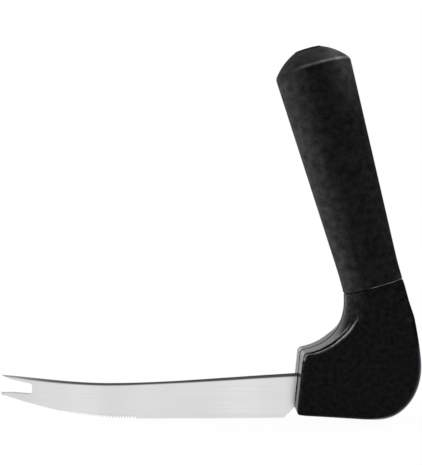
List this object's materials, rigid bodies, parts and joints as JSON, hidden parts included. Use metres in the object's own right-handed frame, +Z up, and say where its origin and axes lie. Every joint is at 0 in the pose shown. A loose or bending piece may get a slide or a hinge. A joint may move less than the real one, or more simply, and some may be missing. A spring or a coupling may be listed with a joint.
{
  "type": "carving knife",
  "caption": "Carving knife with an upright forward-leaning soft grip on a moulded two-half body, and a forked, part-toothed steel blade.",
  "frame": {"origin": "on the lowest line of the cutting edge, midway along the knife's length, in the blade's middle plane", "axes": "+X from the blade's tip to the rear of the handle body, +Y across the blade from its left to its right side, +Z up from the edge to the top of the grip"},
  "size_m": [0.1892, 0.0248, 0.1694],
  "materials": {
    "blade_steel": "fine brushed along the blade",
    "body_plastic": "satin black moulding",
    "grip_rubber": "soft matte black",
    "plug_plastic": "matte black",
    "fastener_steel": "plain zinc-plated"
  },
  "bodies": {
    "root": {"blade": "blade_steel", "left_shell": "body_plastic", "right_shell": "body_plastic", "grip_sleeve": "grip_rubber", "end_plug": "plug_plastic", "front_tang_pin": "fastener_steel", "rear_tang_pin": "fastener_steel", "lower_post_screw": "fastener_steel", "upper_post_screw": "fastener_steel"}
  },
  "joints": []
}
